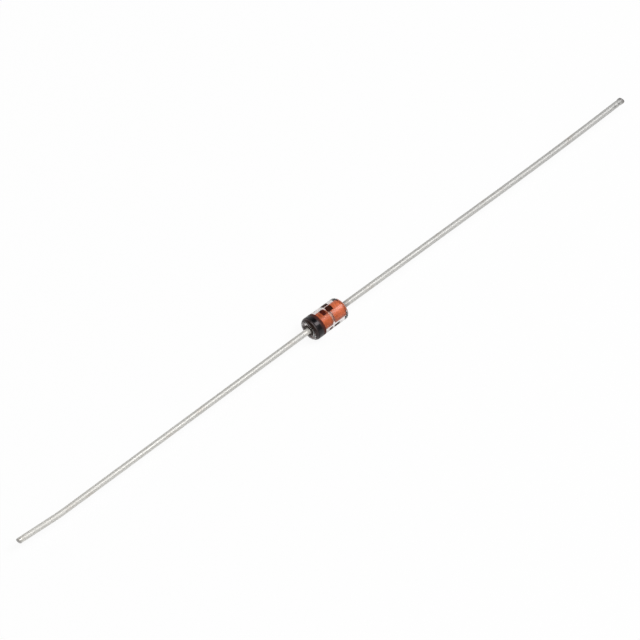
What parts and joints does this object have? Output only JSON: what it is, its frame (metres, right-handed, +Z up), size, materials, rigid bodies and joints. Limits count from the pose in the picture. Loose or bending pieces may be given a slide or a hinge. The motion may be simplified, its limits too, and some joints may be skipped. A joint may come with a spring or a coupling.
{
  "type": "zener diode",
  "caption": "Axial zener diode: a clear glass sleeve sealed over copper-clad slugs and a silicon die, with a black cathode band and long tinned wire leads that are slightly bent.",
  "frame": {"origin": "middle of the glass sleeve, on its axis", "axes": "+X along the straight part of the leads from cathode to anode, +Z up as the diode lies on a bench"},
  "size_m": [0.0646, 0.002, 0.002],
  "materials": {
    "glass": "clear, fire-polished at both ends",
    "copper": "copper borated in the seal, seen through the glass as warm orange",
    "silicon": "sawn silicon",
    "silver": "plated silver, satin",
    "tinned_wire": "hot-dipped tin over copper-clad wire, satin",
    "band_paint": "black marking enamel, glossy"
  },
  "bodies": {
    "root": {"glass_sleeve": "glass", "cathode_slug": "copper", "anode_slug": "copper", "zener_die": "silicon", "contact_bump": "silver", "cathode_lead": "tinned_wire", "anode_lead": "tinned_wire", "cathode_band": "band_paint"}
  },
  "joints": []
}
